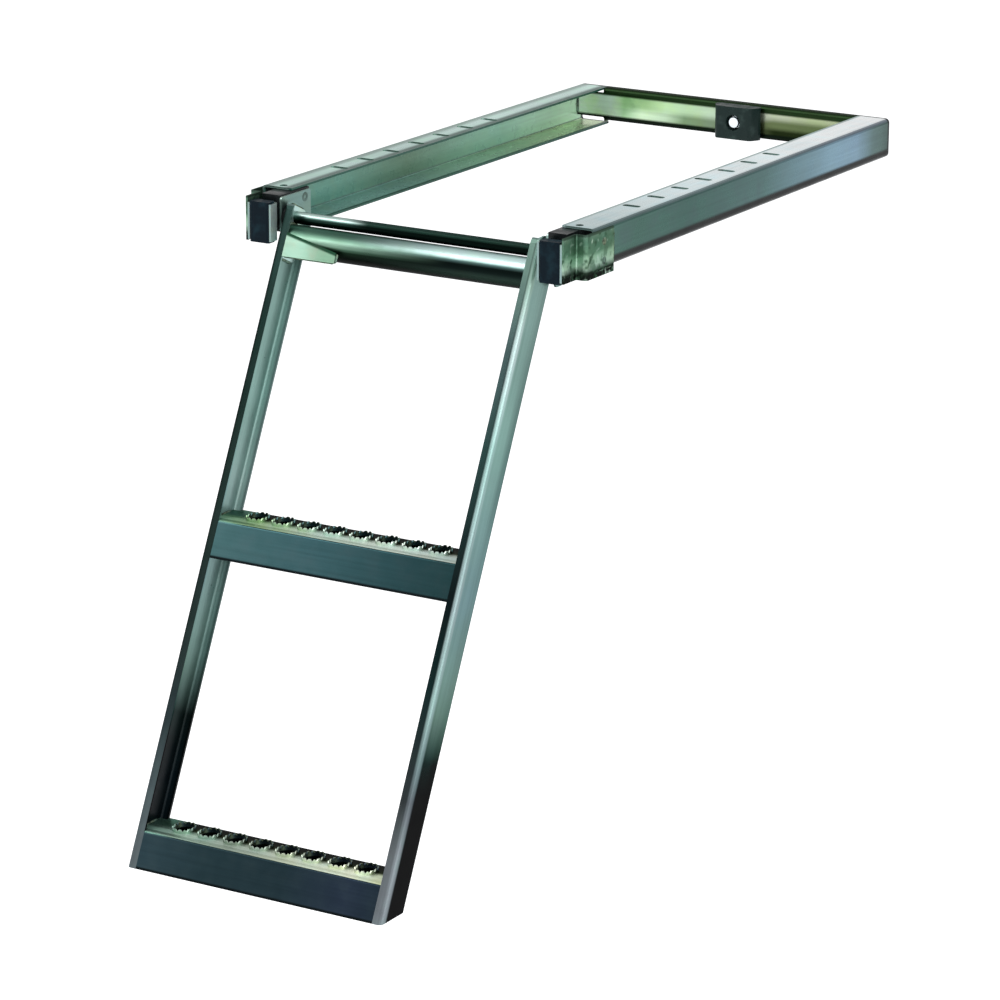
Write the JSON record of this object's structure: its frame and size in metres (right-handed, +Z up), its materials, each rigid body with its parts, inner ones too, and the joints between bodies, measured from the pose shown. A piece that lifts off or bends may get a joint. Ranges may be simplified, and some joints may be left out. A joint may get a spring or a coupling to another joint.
{
  "type": "slide-out step ladder",
  "caption": "Step ladder that slides out of two channel rails bolted up under a load floor and hangs from a pivot shaft, with perforated, toothed treads.",
  "frame": {"origin": "middle of the rear crossbar's top flange, in the plane that bears against the vehicle's floor", "axes": "+X to the right as seen from in front of the steps, +Y inwards under the floor, +Z up"},
  "size_m": [0.443, 1.087, 0.7054],
  "materials": {
    "zinc_steel": "zinc plated with a faint green tint, satin",
    "dark_steel": "dark oiled steel",
    "rubber_pad": "matt black rubber",
    "black_nylon": "black low-friction plastic"
  },
  "bodies": {
    "frame": {"left_rail": "zinc_steel", "right_rail": "zinc_steel", "rear_crossbar": "zinc_steel", "rear_bumper": "rubber_pad", "left_end_bracket": "zinc_steel", "right_end_bracket": "zinc_steel", "left_end_clip": "zinc_steel", "right_end_clip": "zinc_steel", "left_end_block": "rubber_pad", "right_end_block": "rubber_pad"},
    "carriage": {"left_slide_block": "black_nylon", "right_slide_block": "black_nylon", "left_slide_plate": "zinc_steel", "right_slide_plate": "zinc_steel", "left_pivot_washer": "black_nylon", "right_pivot_washer": "black_nylon", "pivot_shaft": "dark_steel"},
    "ladder": {"left_side_rail": "zinc_steel", "right_side_rail": "zinc_steel", "left_hinge_plate": "zinc_steel", "right_hinge_plate": "zinc_steel", "top_tube": "zinc_steel", "tie_plate": "zinc_steel", "middle_step": "zinc_steel", "bottom_step": "zinc_steel"}
  },
  "joints": [
    {"name": "slide_in", "type": "slide", "parent": "frame", "child": "carriage", "axis": [0, 1, 0], "range_m": [0, 0.676]},
    {"name": "ladder_pivot", "type": "hinge", "parent": "carriage", "child": "ladder", "pos_m": [0, -0.7353, -0.0296], "axis": [-1, 0, 0], "range_deg": [0, 64.6]}
  ]
}
